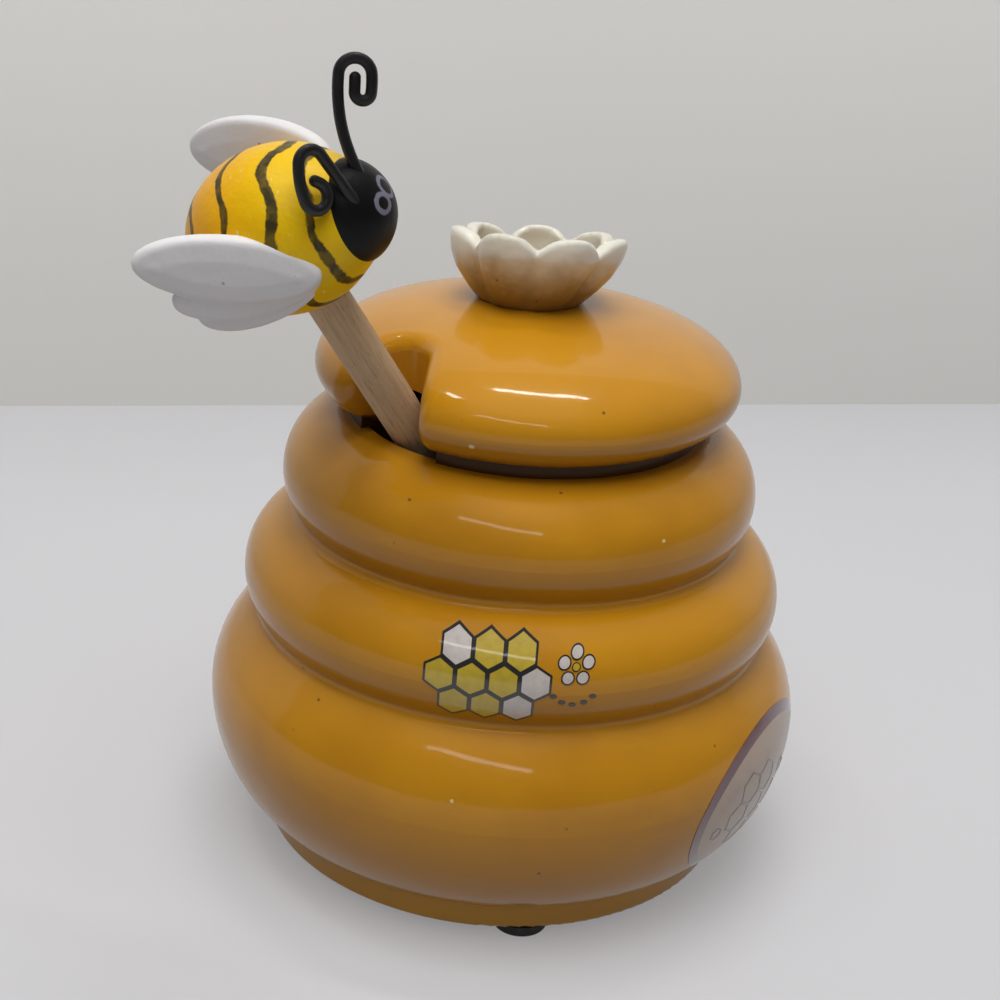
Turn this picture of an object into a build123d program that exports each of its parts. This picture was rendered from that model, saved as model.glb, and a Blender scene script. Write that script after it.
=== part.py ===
from build123d import *
import os
from math import cos, pi, radians, sin, sqrt, tan

# Honey pot in the shape of a straw hive, with a lift-off lid and a bee dipper.
# Millimetres, +Z up. The origin is the middle of the whole object's footprint, on the table:
# the bee reaches out on the left, so the pot's axis stands a little to the right of it.
POT_AXIS_X = 2.5

# Pot: three coils, each an ellipse in section. The base stands on four rubber feet.
LOW_COIL_RADIUS = 56.0       # outermost point of the coil
LOW_COIL_Z = 28.6            # height of its widest point
LOW_COIL_WIDTH = 18.6        # semi-axis across
LOW_COIL_RISE = 18.9         # semi-axis above the widest point
LOW_COIL_DROP = 23.6         # semi-axis below it
MID_COIL_RADIUS = 50.3
MID_COIL_Z = 52.6
MID_COIL_WIDTH = 13.4
MID_COIL_RISE = 11.8
TOP_COIL_RADIUS = 43.8
TOP_COIL_Z = 72.0
TOP_COIL_WIDTH = 13.3
TOP_COIL_RISE = 12.6
TOP_COIL_DROP = 11.4
GROOVE_ROUND = 1.6           # glaze pooled in the grooves between coils
POT_WALL = 4.5
FLOOR_THICKNESS = 4.5
BASE_RING_HEIGHT = 5.1       # plain band under the low coil
BASE_RING_TAPER = 0.5        # how much the band narrows to its lower edge
BASE_RECESS = 1.0
BASE_RECESS_INSET = 2.5      # from the feet in to the recess
BASE_EDGE_ROUND = 0.8
MOUTH_INSET = 0.2            # from the middle of the top coil's section in to the mouth
MOUTH_EDGE_ROUND = 0.9
SEAT_CUT = 0.5               # depth of the flat ground on the top coil for the lid
SEAT_ROUND = 3.0             # where the flat meets the coil's outside

# Rubber feet
FOOT_COUNT = 4
FOOT_DIAMETER = 10.0
FOOT_HEIGHT = 2.0
FOOT_INSET = 5.57            # from the base ring's edge in to a foot's middle
FOOT_FIRST_ANGLE = -80.0
FOOT_ROUND = 0.5

# Lid: a swelling dome with a flange that drops into the mouth and a notch for the dipper
LID_RADIUS = 38.7
LID_EQUATOR_LIFT = 8.4       # widest point above the seat
LID_DOME_RISE = 11.9         # crown above the widest point
LID_EDGE_FULLNESS = 0.68
LID_CROWN_FULLNESS = 0.62
LID_UNDER_WIDTH = 15.2       # semi-axis of the rounded underside
LID_UNDER_DROP = 7.8
LID_WALL = 4.5
SEAT_RING_OVERLAP = 2.2      # how far the lid's seat ring reaches over the rim
FLANGE_CLEARANCE = 0.4
FLANGE_WALL = 3.0
FLANGE_DROP = 5.0
NOTCH_WIDTH = 11.0
NOTCH_PAST_MOUTH = 1.0       # from the mouth's edge out to the middle of the round end
NOTCH_FLARE = 44.0           # how far its right side turns away from the dipper's lean
NOTCH_WALL = 3.6
NOTCH_ROUND = 3.0
NOTCH_WINDOW_CLEARANCE = 1.2     # beside the stick, where it comes out of the lid's hollow

# Flower knob
PETAL_COUNT = 7
PETAL_FIRST_ANGLE = 90.0
FLOWER_BASE_RADIUS = 8.2
FLOWER_RIM_RADIUS = 15.6
FLOWER_HEIGHT = 13.8
FLOWER_WAIST_SHARE = 0.43    # height of the middle section
FLOWER_WAIST_RADIUS = 14.2
PETAL_SWELL = 0.9            # how far a petal stands out of the round at the rim
PETAL_ARCH = 5.0             # height of a petal's rounded top
PETAL_HALF_WIDTH = 7.9
FLOWER_WALL = 2.2
FLOWER_FLOOR = 5.0
FLOWER_SEAT_DEPTH = 1.5      # how far its base would reach below the lid's crown
FLOWER_SETBACK = 2.5         # behind the lid's axis
FLOWER_TILT = 10.0           # tipped back, as stuck on by hand

# Dipper: a dowel with a grooved head at one end and the bee at the other
STICK_DIAMETER = 7.5
DIPPER_LEAN = 36.3           # from the vertical
DIPPER_AZIMUTH = 224.0       # direction that it leans to
REST_CLEARANCE = 0.3         # to the rim and to the floor
HEAD_DIAMETER = 22.0
HEAD_LENGTH = 29.0
HEAD_NECK_LENGTH = 4.0
HEAD_NECK_DIAMETER = 12.0
HEAD_END_ROUND = 3.0
GROOVE_COUNT = 6
GROOVE_WIDTH = 1.9
GROOVE_CORE_DIAMETER = 12.0
HEAD_BORE_DEPTH = 18.0
BEE_HEIGHT = 138.7           # from the head's end to the bee's middle, along the stick
STICK_IN_BEE = 12.0

# Bee: an egg-shaped body along its own X axis, nose forward, back up
BEE_TURN = 35.0              # about the stick
BEE_PITCH = 3.0              # nose up
BEE_RADIUS = 13.4
BEE_TAIL_LENGTH = 16.2
BEE_FRONT_LENGTH = 13.1
BEE_SHIFT = 0.3              # body ahead of the stick's axis
NECK_RADIUS = 8.1
FACE_LENGTH = 6.1
FACE_CHEEK_FULLNESS = 0.35
FACE_NOSE_FULLNESS = 0.54
SHOULDER_FULLNESS = 0.5      # how long the body stays at its full width towards the neck
SHOULDER_TAPER = 2.2         # how steeply it then narrows

# Wings: three overlapping lobes each, (length, width, thickness, fan angle)
RIGHT_WING_LOBES = ((28.6, 11.0, 3.0, 0.0), (23.8, 9.4, 2.5, -18.0), (19.4, 10.4, 2.1, -30.0))
LEFT_WING_LOBES = ((30.2, 12.1, 3.0, 0.0), (25.0, 10.4, 2.5, -18.0), (20.9, 12.1, 2.1, -31.0))
WING_EDGE_SHARE = 0.42       # edge round as a share of the thickness
WING_LOBE_SETBACK = 0.25     # each lobe lies this much further in
RIGHT_WING_ROOT = (8.4, -1.9)    # along and above the body's axis
RIGHT_WING_SPLAY = 15.5
RIGHT_WING_TILT = 12.4
RIGHT_WING_SWEEP = 27.0
LEFT_WING_ROOT = (7.0, 2.4)
LEFT_WING_SPLAY = 18.7
LEFT_WING_TILT = -24.0
LEFT_WING_SWEEP = 12.2

# Antennae: wire bent in one plane, each bend (radius, turn); a turn of 0 is a straight run
WIRE_DIAMETER = 1.8
WIRE_IN_HEAD = 2.4
# Root: ahead of the neck, out from the body's axis, angle about it (0 is up, + is left)
RIGHT_ANTENNA_ROOT = (2.6, 7.1, -28.3)
RIGHT_ANTENNA_FACING = (-30.0, 11.4)     # azimuth and elevation of the plane's normal
RIGHT_ANTENNA_START = 86.4               # heading of the first run in that plane
RIGHT_ANTENNA_BENDS = ((6.8, 0), (2.2, 138), (13.2, 24.6), (2.0, 158), (2.2, 68), (0.8, 0))
LEFT_ANTENNA_ROOT = (2.9, 6.7, 16.9)
LEFT_ANTENNA_FACING = (-55.1, 30.1)
LEFT_ANTENNA_START = 80.7
LEFT_ANTENNA_BENDS = ((25.5, -31.6), (2.5, -172), (16.3, -9.8), (1.25, -175), (2.1, 0))

# Derived heights and radii
BASE_Z = FOOT_HEIGHT
FLOOR_Z = BASE_Z + BASE_RECESS + FLOOR_THICKNESS
RING_TOP_Z = BASE_Z + BASE_RING_HEIGHT
SEAT_Z = TOP_COIL_Z + TOP_COIL_RISE - SEAT_CUT
EQUATOR_Z = SEAT_Z + LID_EQUATOR_LIFT
UNDER_Z = EQUATOR_Z - LID_UNDER_DROP
CROWN_Z = EQUATOR_Z + LID_DOME_RISE
LOW_COIL_CENTRE = LOW_COIL_RADIUS - LOW_COIL_WIDTH
MID_COIL_CENTRE = MID_COIL_RADIUS - MID_COIL_WIDTH
TOP_COIL_CENTRE = TOP_COIL_RADIUS - TOP_COIL_WIDTH
RING_DROP_SHARE = (LOW_COIL_Z - RING_TOP_Z) / LOW_COIL_DROP
RING_RADIUS = LOW_COIL_CENTRE + LOW_COIL_WIDTH * sqrt(1 - RING_DROP_SHARE**2)
FOOT_CIRCLE_RADIUS = RING_RADIUS - FOOT_INSET
BASE_RECESS_RADIUS = FOOT_CIRCLE_RADIUS - FOOT_DIAMETER / 2 - BASE_RECESS_INSET
MOUTH_RADIUS = TOP_COIL_CENTRE - MOUTH_INSET
NOTCH_REACH = MOUTH_RADIUS + NOTCH_PAST_MOUTH
FLANGE_RADIUS = MOUTH_RADIUS - FLANGE_CLEARANCE
SKIRT_BORE_RADIUS = FLANGE_RADIUS - FLANGE_WALL
STICK_RADIUS = STICK_DIAMETER / 2
HEAD_RADIUS = HEAD_DIAMETER / 2
WIRE_RADIUS = WIRE_DIAMETER / 2
ROUND_HANDLE = 4 / 3 * (sqrt(2) - 1)     # handle length of a quarter round

# Modelling
BEYOND = 1.0                 # how far a cutter reaches past what it cuts
SAME_PLACE = 0.01            # two points closer than this are one
ROSETTE_STEPS = 4            # curve points for each petal
HALVINGS = 40                # when a place along a curve is looked up


def revolved(profile):
    """Turn a profile of (radius, height) about the pot's axis."""
    return revolve(Plane.XZ * profile, axis=Axis.Z)


def block(radius_from, radius_to, low, high):
    """Rectangle of a profile, from one radius and height to another."""
    corners = ((radius_from, low), (radius_to, low), (radius_to, high), (radius_from, high))
    return make_face(Polyline(*corners, close=True))


def coil_section(centre_radius, centre_z, half_width, rise, drop):
    """Section of a coil: one half ellipse above its middle, another below."""
    outline = [
        EllipticalCenterArc((centre_radius, centre_z), half_width, rise, 0, arc_size=180),
        EllipticalCenterArc((centre_radius, centre_z), half_width, drop, 180, arc_size=180),
    ]
    return make_face(outline)


def groove_corner(section, low_z, high_z):
    """The corner where two coils meet, outermost between two heights."""
    corners = [v for v in section.vertices() if low_z + BEYOND < v.Y < high_z - BEYOND]
    return max(corners, key=lambda v: v.X)


def pot_outside():
    """Outer profile of the pot, and the corners of its two grooves before they are rounded."""
    low = coil_section(LOW_COIL_CENTRE, LOW_COIL_Z, LOW_COIL_WIDTH, LOW_COIL_RISE, LOW_COIL_DROP)
    low -= block(-LOW_COIL_RADIUS, 2 * LOW_COIL_RADIUS, -LOW_COIL_DROP, RING_TOP_Z)
    mid = coil_section(MID_COIL_CENTRE, MID_COIL_Z, MID_COIL_WIDTH, MID_COIL_RISE, MID_COIL_RISE)
    top = coil_section(TOP_COIL_CENTRE, TOP_COIL_Z, TOP_COIL_WIDTH, TOP_COIL_RISE, TOP_COIL_DROP)
    core = (
        (0, RING_TOP_Z),
        (RING_RADIUS, RING_TOP_Z),
        (LOW_COIL_CENTRE, LOW_COIL_Z),
        (MID_COIL_CENTRE, MID_COIL_Z),
        (TOP_COIL_CENTRE, TOP_COIL_Z),
        (TOP_COIL_CENTRE, SEAT_Z),
        (0, SEAT_Z),
    )
    band = (
        (0, BASE_Z),
        (RING_RADIUS - BASE_RING_TAPER, BASE_Z),
        (RING_RADIUS, RING_TOP_Z),
        (0, RING_TOP_Z),
    )
    section = low + mid + top + make_face(Polyline(*core, close=True))
    section += make_face(Polyline(*band, close=True))
    section -= block(0, 2 * LOW_COIL_RADIUS, SEAT_Z, SEAT_Z + TOP_COIL_RISE)
    low_groove = groove_corner(section, LOW_COIL_Z, MID_COIL_Z)
    top_groove = groove_corner(section, MID_COIL_Z, TOP_COIL_Z)
    throats = ((low_groove.X, low_groove.Y), (top_groove.X, top_groove.Y))
    section = fillet([low_groove, top_groove], GROOVE_ROUND)
    seat_edge = [v for v in section.vertices() if abs(v.Y - SEAT_Z) < SAME_PLACE and v.X > 0]
    section = fillet(seat_edge, SEAT_ROUND)
    base_edge = [v for v in section.vertices() if abs(v.Y - BASE_Z) < SAME_PLACE and v.X > 0]
    return fillet(base_edge, BASE_EDGE_ROUND), throats


def pot_inside(throats):
    """Profile of the hollow: the coils again, one wall in, over a flat floor."""
    low = coil_section(
        LOW_COIL_CENTRE,
        LOW_COIL_Z,
        LOW_COIL_WIDTH - POT_WALL,
        LOW_COIL_RISE - POT_WALL,
        LOW_COIL_Z - FLOOR_Z,
    )
    mid_rise = MID_COIL_RISE - POT_WALL
    mid = coil_section(MID_COIL_CENTRE, MID_COIL_Z, MID_COIL_WIDTH - POT_WALL, mid_rise, mid_rise)
    top = coil_section(
        TOP_COIL_CENTRE,
        TOP_COIL_Z,
        TOP_COIL_WIDTH - POT_WALL,
        TOP_COIL_RISE - POT_WALL,
        TOP_COIL_DROP - POT_WALL,
    )
    (low_throat, low_throat_z), (top_throat, top_throat_z) = throats
    core = (
        (0, FLOOR_Z),
        (LOW_COIL_CENTRE, FLOOR_Z),
        (LOW_COIL_CENTRE, LOW_COIL_Z),
        (low_throat - POT_WALL, low_throat_z),
        (MID_COIL_CENTRE, MID_COIL_Z),
        (top_throat - POT_WALL, top_throat_z),
        (TOP_COIL_CENTRE, TOP_COIL_Z),
        (MOUTH_RADIUS, TOP_COIL_Z),
        (MOUTH_RADIUS, SEAT_Z + TOP_COIL_RISE),
        (0, SEAT_Z + TOP_COIL_RISE),
    )
    return low + mid + top + make_face(Polyline(*core, close=True))


def make_pot():
    outside, throats = pot_outside()
    profile = outside - pot_inside(throats)
    profile -= block(0, BASE_RECESS_RADIUS, 0, BASE_Z + BASE_RECESS)
    seat_corners = [v for v in profile.vertices() if abs(v.Y - SEAT_Z) < SAME_PLACE]
    mouth_corner = min(seat_corners, key=lambda v: v.X)
    return revolved(fillet(mouth_corner, MOUTH_EDGE_ROUND))


def make_foot(index):
    angle = FOOT_FIRST_ANGLE + index * 360 / FOOT_COUNT
    foot = extrude(Circle(FOOT_DIAMETER / 2), FOOT_HEIGHT)
    foot = fillet(foot.edges().group_by(Axis.Z)[0], FOOT_ROUND)
    return Rot(0, 0, angle) * Pos(FOOT_CIRCLE_RADIUS, 0, 0) * foot


def dome_profile(radius, under_width, under_drop, dome_rise):
    """Half section of the lid's dome: a round underside, and a swelling top."""
    under_z = EQUATOR_Z - under_drop
    crown_z = EQUATOR_Z + dome_rise
    under_centre = radius - under_width
    outline = [
        Line((0, under_z), (under_centre, under_z)),
        EllipticalCenterArc((under_centre, EQUATOR_Z), under_width, under_drop, 270, arc_size=90),
        Bezier(
            (radius, EQUATOR_Z),
            (radius, EQUATOR_Z + LID_EDGE_FULLNESS * dome_rise),
            (LID_CROWN_FULLNESS * radius, crown_z),
            (0, crown_z),
        ),
        Line((0, crown_z), (0, under_z)),
    ]
    return make_face(outline)


def notch_block(grow, low, high):
    """The notch's round end, open to the side that the dipper leans to and flared to the right."""
    half_width = NOTCH_WIDTH / 2 + grow
    reach = 2 * LID_RADIUS
    straight = Pos(reach / 2, 0) * Rectangle(reach, 2 * half_width)
    flare = radians(NOTCH_FLARE)
    between = ((0, 0), (reach, 0), (reach * cos(flare), reach * sin(flare)))
    plan = Circle(half_width) + straight + Rot(0, 0, NOTCH_FLARE) * straight
    plan += make_face(Polyline(*between, close=True))
    return Rot(0, 0, DIPPER_AZIMUTH) * Pos(NOTCH_REACH, 0, low) * extrude(plan, high - low)


def make_lid():
    low_z = SEAT_Z - FLANGE_DROP
    high_z = CROWN_Z + LID_WALL
    notch = notch_block(0, low_z - BEYOND, high_z)
    dome = revolved(dome_profile(LID_RADIUS, LID_UNDER_WIDTH, LID_UNDER_DROP, LID_DOME_RISE))
    notched = dome - notch
    rims = new_edges(dome, notch, combined=notched)
    rims = [e for e in rims if e.geom_type != GeomType.LINE or abs(e.tangent_at(0.5).Z) < 0.5]
    dome = fillet(rims, NOTCH_ROUND)

    skirt_top = UNDER_Z + LID_UNDER_DROP / 2
    skirt = block(SKIRT_BORE_RADIUS, FLANGE_RADIUS, low_z, skirt_top)
    skirt += block(SKIRT_BORE_RADIUS, MOUTH_RADIUS + SEAT_RING_OVERLAP, SEAT_Z, skirt_top)
    skirt_ring = revolved(skirt) - notch_block(NOTCH_ROUND, low_z - BEYOND, high_z)

    hollow = dome_profile(
        LID_RADIUS - LID_WALL,
        LID_UNDER_WIDTH - LID_WALL,
        LID_UNDER_DROP - LID_WALL,
        LID_DOME_RISE - LID_WALL,
    )
    hollow += block(0, SKIRT_BORE_RADIUS, low_z - BEYOND, EQUATOR_Z)
    cavity = revolved(hollow) - notch_block(NOTCH_WALL, UNDER_Z, high_z)

    window_width = STICK_DIAMETER + 2 * NOTCH_WINDOW_CLEARANCE
    window = Pos(NOTCH_REACH / 2, 0, low_z) * Rectangle(NOTCH_REACH, window_width)
    window = Rot(0, 0, DIPPER_AZIMUTH) * extrude(window, EQUATOR_Z - low_z)
    return dome + skirt_ring - cavity - window


def rosette(radius, swell, z):
    """Closed outline with one soft bulge for each petal."""
    steps = ROSETTE_STEPS * PETAL_COUNT
    points = []
    for i in range(steps):
        turn = 2 * pi * i / steps
        reach = radius + swell * cos(PETAL_COUNT * turn)
        angle = turn + radians(PETAL_FIRST_ANGLE)
        points.append((reach * cos(angle), reach * sin(angle)))
    return Pos(0, 0, z) * make_face(Spline(*points, periodic=True))


def make_flower(lid):
    waist_z = FLOWER_HEIGHT * FLOWER_WAIST_SHARE
    outside = loft([
        rosette(FLOWER_BASE_RADIUS, 0, 0),
        rosette(FLOWER_WAIST_RADIUS, PETAL_SWELL / 2, waist_z),
        rosette(FLOWER_RIM_RADIUS, PETAL_SWELL, FLOWER_HEIGHT),
    ])
    lip = FLOWER_RIM_RADIUS - FLOWER_WALL
    inside = loft([
        rosette(FLOWER_BASE_RADIUS - FLOWER_WALL, 0, FLOWER_FLOOR),
        rosette(FLOWER_WAIST_RADIUS - FLOWER_WALL, PETAL_SWELL / 2, waist_z + FLOWER_FLOOR / 3),
        rosette(lip, PETAL_SWELL, FLOWER_HEIGHT),
    ])
    arch_z = FLOWER_HEIGHT - PETAL_ARCH
    arch = Pos(0, arch_z) * Ellipse(PETAL_HALF_WIDTH, PETAL_ARCH)
    arch += Pos(0, arch_z / 2) * Rectangle(2 * PETAL_HALF_WIDTH, arch_z)
    petal = extrude(Plane.YZ * arch, 2 * FLOWER_RIM_RADIUS)
    crown = Part()
    for i in range(PETAL_COUNT):
        crown += Rot(0, 0, PETAL_FIRST_ANGLE + i * 360 / PETAL_COUNT) * petal
    flower = (outside & crown) - inside
    seat = Pos(0, FLOWER_SETBACK, CROWN_Z - FLOWER_SEAT_DEPTH) * Rot(-FLOWER_TILT, 0, 0)
    return seat * flower - lid


def point_on_bezier(handles, t):
    """Point of a cubic curve at a share t of its parameter."""
    weights = ((1 - t)**3, 3 * (1 - t)**2 * t, 3 * (1 - t) * t**2, t**3)
    x = sum(w * handle[0] for w, handle in zip(weights, handles))
    y = sum(w * handle[1] for w, handle in zip(weights, handles))
    return x, y


def dipper_plane():
    """Frame of the dipper: its origin at the head's end, Z along the stick, X ahead of the bee."""
    lean = radians(DIPPER_LEAN)
    azimuth = radians(DIPPER_AZIMUTH)
    outward = Vector(cos(azimuth), sin(azimuth), 0)
    along = outward * sin(lean) + Vector(0, 0, cos(lean))
    side = Vector(0, 0, 1).cross(outward)
    ahead = side * cos(radians(BEE_TURN)) + along.cross(side) * sin(radians(BEE_TURN))
    # The stick lies against the mouth's rounded edge, and the head's lowest corner over the floor.
    edge_reach = MOUTH_RADIUS + MOUTH_EDGE_ROUND
    stick_to_edge = STICK_RADIUS + REST_CLEARANCE + MOUTH_EDGE_ROUND * (1 - sin(lean))
    reach_at_seat = edge_reach - stick_to_edge / cos(lean)
    corner_drop = (HEAD_RADIUS - HEAD_END_ROUND) * sin(lean) + HEAD_END_ROUND * (1 - cos(lean))
    end_z = FLOOR_Z + REST_CLEARANCE + corner_drop
    end_reach = reach_at_seat - (SEAT_Z - end_z) * tan(lean)
    return Plane(outward * end_reach + Vector(0, 0, end_z), x_dir=ahead, z_dir=along)


def make_stick():
    length = BEE_HEIGHT - BEE_RADIUS + STICK_IN_BEE - stick_start()
    return Pos(0, 0, stick_start()) * extrude(Circle(STICK_RADIUS), length)


def stick_start():
    return HEAD_LENGTH - HEAD_BORE_DEPTH


def make_dipper_head():
    """Turned head: discs between grooves, with a rounded end and a short neck."""
    barrel = HEAD_LENGTH - HEAD_NECK_LENGTH
    outline = Polyline(
        (0, 0),
        (HEAD_RADIUS, 0),
        (HEAD_RADIUS, barrel),
        (HEAD_NECK_DIAMETER / 2, HEAD_LENGTH),
        (0, HEAD_LENGTH),
        close=True,
    )
    section = make_face(outline)
    end_corner = section.vertices().sort_by(lambda v: v.X - v.Y)[-1]
    section = fillet(end_corner, HEAD_END_ROUND)
    pitch = (barrel - HEAD_END_ROUND) / GROOVE_COUNT
    for i in range(GROOVE_COUNT):
        middle = HEAD_END_ROUND + (i + 0.5) * pitch
        low = middle - GROOVE_WIDTH / 2
        section -= block(GROOVE_CORE_DIAMETER / 2, 2 * HEAD_RADIUS, low, low + GROOVE_WIDTH)
    section -= block(0, STICK_RADIUS, stick_start(), 2 * HEAD_LENGTH)
    return revolved(section)


def bee_location():
    """Frame of the bee in the dipper's frame: its middle, nose along X and back along Z."""
    return Pos(BEE_SHIFT, 0, BEE_HEIGHT) * Rot(0, -BEE_PITCH, 0)


def tail_curve():
    handle = ROUND_HANDLE
    return (
        (-BEE_TAIL_LENGTH, 0),
        (-BEE_TAIL_LENGTH, handle * BEE_RADIUS),
        (-handle * BEE_TAIL_LENGTH, BEE_RADIUS),
        (0, BEE_RADIUS),
    )


def shoulder_curve():
    taper_x = BEE_FRONT_LENGTH * (1 + SHOULDER_FULLNESS) / 2
    return (
        (0, BEE_RADIUS),
        (SHOULDER_FULLNESS * BEE_FRONT_LENGTH, BEE_RADIUS),
        (taper_x, NECK_RADIUS + SHOULDER_TAPER),
        (BEE_FRONT_LENGTH, NECK_RADIUS),
    )


def face_curve():
    nose = BEE_FRONT_LENGTH + FACE_LENGTH
    return (
        (BEE_FRONT_LENGTH, NECK_RADIUS),
        (BEE_FRONT_LENGTH + FACE_CHEEK_FULLNESS * FACE_LENGTH, NECK_RADIUS),
        (nose, FACE_NOSE_FULLNESS * NECK_RADIUS),
        (nose, 0),
    )


def turned_about_bee(curves):
    """Solid of revolution about the bee's axis, under a chain of curves."""
    first = curves[0][0]
    last = curves[-1][-1]
    outline = [Bezier(*curve) for curve in curves]
    corners = [last, (last[0], 0), (first[0], 0), first]
    for start, end in zip(corners, corners[1:]):
        if start != end:
            outline.append(Line(start, end))
    return revolve(make_face(outline), axis=Axis.X)


def make_bee_body():
    body = turned_about_bee([tail_curve(), shoulder_curve()])
    return bee_location() * body - make_stick()


def make_bee_head(antennae):
    head = bee_location() * turned_about_bee([face_curve()])
    for antenna in antennae:
        head -= antenna
    return head


def radius_at(x):
    """Radius of the bee's body at a place along its axis."""
    curve = tail_curve() if x < 0 else shoulder_curve()
    low, high = 0.0, 1.0
    for _ in range(HALVINGS):
        middle = (low + high) / 2
        if point_on_bezier(curve, middle)[0] < x:
            low = middle
        else:
            high = middle
    return point_on_bezier(curve, low)[1]


def wing_plane(side, root, splay, tilt, sweep):
    """Plane of a wing: X along its first lobe from the root, Y towards the bee's back."""
    splay, tilt, sweep = radians(splay), radians(tilt), radians(sweep)
    outward = Vector(sin(splay) * cos(tilt), side * cos(splay) * cos(tilt), sin(tilt))
    tail = Vector(-1, 0, 0)
    tail = (tail - outward * tail.dot(outward)).normalized()
    raised = tail.cross(outward) * -side
    along = tail * cos(sweep) + raised * sin(sweep)
    along_root, above_root = root
    beside_root = side * sqrt(radius_at(along_root)**2 - above_root**2)
    return Plane((along_root, beside_root, above_root), x_dir=along, z_dir=outward * side)


def make_wing(side, lobes, root, splay, tilt, sweep, bee_body):
    """One wing: its lobes fan out from the root, each a little behind the one before."""
    wing = Part()
    for order, (length, width, thickness, fan) in enumerate(lobes):
        outline = Rot(0, 0, fan) * Pos(length / 2, 0) * Ellipse(length / 2, width / 2)
        lobe = extrude(outline, thickness / 2, both=True)
        lobe = fillet(lobe.edges().filter_by(GeomType.LINE, reverse=True), WING_EDGE_SHARE * thickness)
        wing += Pos(0, 0, -side * order * WING_LOBE_SETBACK) * lobe
    placed = bee_location() * (wing_plane(side, root, splay, tilt, sweep).location * wing)
    return placed - bee_body


def make_antenna(root, facing, start, bends):
    """Wire from its hole in the head through a chain of bends, with a round tip."""
    ahead, reach, about = root
    azimuth, elevation = radians(facing[0]), radians(facing[1])
    normal = Vector(cos(elevation) * cos(azimuth), cos(elevation) * sin(azimuth), sin(elevation))
    plane = Plane(
        (BEE_FRONT_LENGTH + ahead, reach * sin(radians(about)), reach * cos(radians(about))),
        x_dir=Vector(0, 0, 1).cross(normal),
        z_dir=normal,
    )
    heading = start
    socket = PolarLine((0, 0), -WIRE_IN_HEAD, heading)
    runs = [Line(socket @ 1, (0, 0))]
    for radius, turn in bends:
        here = runs[-1] @ 1
        if turn == 0:
            runs.append(PolarLine(here, radius, heading))
        else:
            tangent = (cos(radians(heading)), sin(radians(heading)))
            runs.append(JernArc(here, tangent, radius, turn))
            heading += turn
    path = Wire(runs)
    wire = sweep((path ^ 0) * Circle(WIRE_RADIUS), path=path)
    wire += Pos(path @ 1) * Sphere(WIRE_RADIUS)
    return bee_location() * (plane.location * wire)


def main():
    os.makedirs("parts", exist_ok=True)
    dipper = dipper_plane().location
    lid = make_lid()
    bee_body = make_bee_body()
    right_antenna = make_antenna(
        RIGHT_ANTENNA_ROOT, RIGHT_ANTENNA_FACING, RIGHT_ANTENNA_START, RIGHT_ANTENNA_BENDS
    )
    left_antenna = make_antenna(
        LEFT_ANTENNA_ROOT, LEFT_ANTENNA_FACING, LEFT_ANTENNA_START, LEFT_ANTENNA_BENDS
    )
    right_wing = make_wing(
        -1,
        RIGHT_WING_LOBES,
        RIGHT_WING_ROOT,
        RIGHT_WING_SPLAY,
        RIGHT_WING_TILT,
        RIGHT_WING_SWEEP,
        bee_body,
    )
    left_wing = make_wing(
        1,
        LEFT_WING_LOBES,
        LEFT_WING_ROOT,
        LEFT_WING_SPLAY,
        LEFT_WING_TILT,
        LEFT_WING_SWEEP,
        bee_body,
    )
    nodes = {
        "pot_body": make_pot(),
        "lid": lid,
        "flower_knob": make_flower(lid),
        "dipper_stick": dipper * make_stick(),
        "dipper_head": dipper * make_dipper_head(),
        "bee_body": dipper * bee_body,
        "bee_head": dipper * make_bee_head((right_antenna, left_antenna)),
        "bee_wing_right": dipper * right_wing,
        "bee_wing_left": dipper * left_wing,
        "bee_antenna_right": dipper * right_antenna,
        "bee_antenna_left": dipper * left_antenna,
    }
    for index in range(FOOT_COUNT):
        nodes[f"rubber_foot_{index + 1}"] = make_foot(index)
    for name, shape in nodes.items():
        export_step(Pos(POT_AXIS_X, 0, 0) * shape, f"parts/{name}.step")


if __name__ == "__main__":
    main()
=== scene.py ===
from math import atan2, copysign, cos, exp, hypot, pi, radians, sin, sqrt

import bpy
from bpy.props import FloatProperty, FloatVectorProperty, PointerProperty
from mathutils import Matrix, Vector


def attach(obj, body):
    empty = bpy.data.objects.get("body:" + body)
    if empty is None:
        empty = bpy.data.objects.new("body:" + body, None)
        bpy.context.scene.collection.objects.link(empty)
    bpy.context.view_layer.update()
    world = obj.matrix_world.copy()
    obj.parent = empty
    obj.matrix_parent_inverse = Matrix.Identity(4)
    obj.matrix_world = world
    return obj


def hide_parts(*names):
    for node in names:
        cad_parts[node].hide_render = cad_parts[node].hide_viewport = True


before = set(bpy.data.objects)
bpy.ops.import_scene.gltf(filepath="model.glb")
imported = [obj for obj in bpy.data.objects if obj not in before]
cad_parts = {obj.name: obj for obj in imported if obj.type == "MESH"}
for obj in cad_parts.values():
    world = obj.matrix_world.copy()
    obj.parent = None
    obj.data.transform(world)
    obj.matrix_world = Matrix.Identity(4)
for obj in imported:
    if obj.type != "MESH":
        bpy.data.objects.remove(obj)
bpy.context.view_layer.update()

bl_info = {
    "name": "Hive Honey Pot",
    "version": (1, 0, 0),
    "blender": (4, 5, 0),
    "location": "View3D > Sidebar > Honey Pot",
    "description": "Dresses a hive-shaped honey pot, its flower-topped lid and its bee dipper",
    "category": "Object",
}

MM = 0.001

# Where things are on the pot, in millimetres, in the frame that the solids share.
POT_AXIS_X = 2.5
LOW_COIL_CENTRE = 37.4
LOW_COIL_Z = 28.6
LOW_COIL_WIDTH = 18.6
LOW_COIL_RISE = 18.9
LOW_COIL_DROP = 23.6
FOOT_COUNT = 4
FLOWER_FOOT = (POT_AXIS_X, 2.5, 102.9)
FLOWER_TILT = 10.0
FLOWER_HEIGHT = 13.8
PETAL_COUNT = 7

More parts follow.
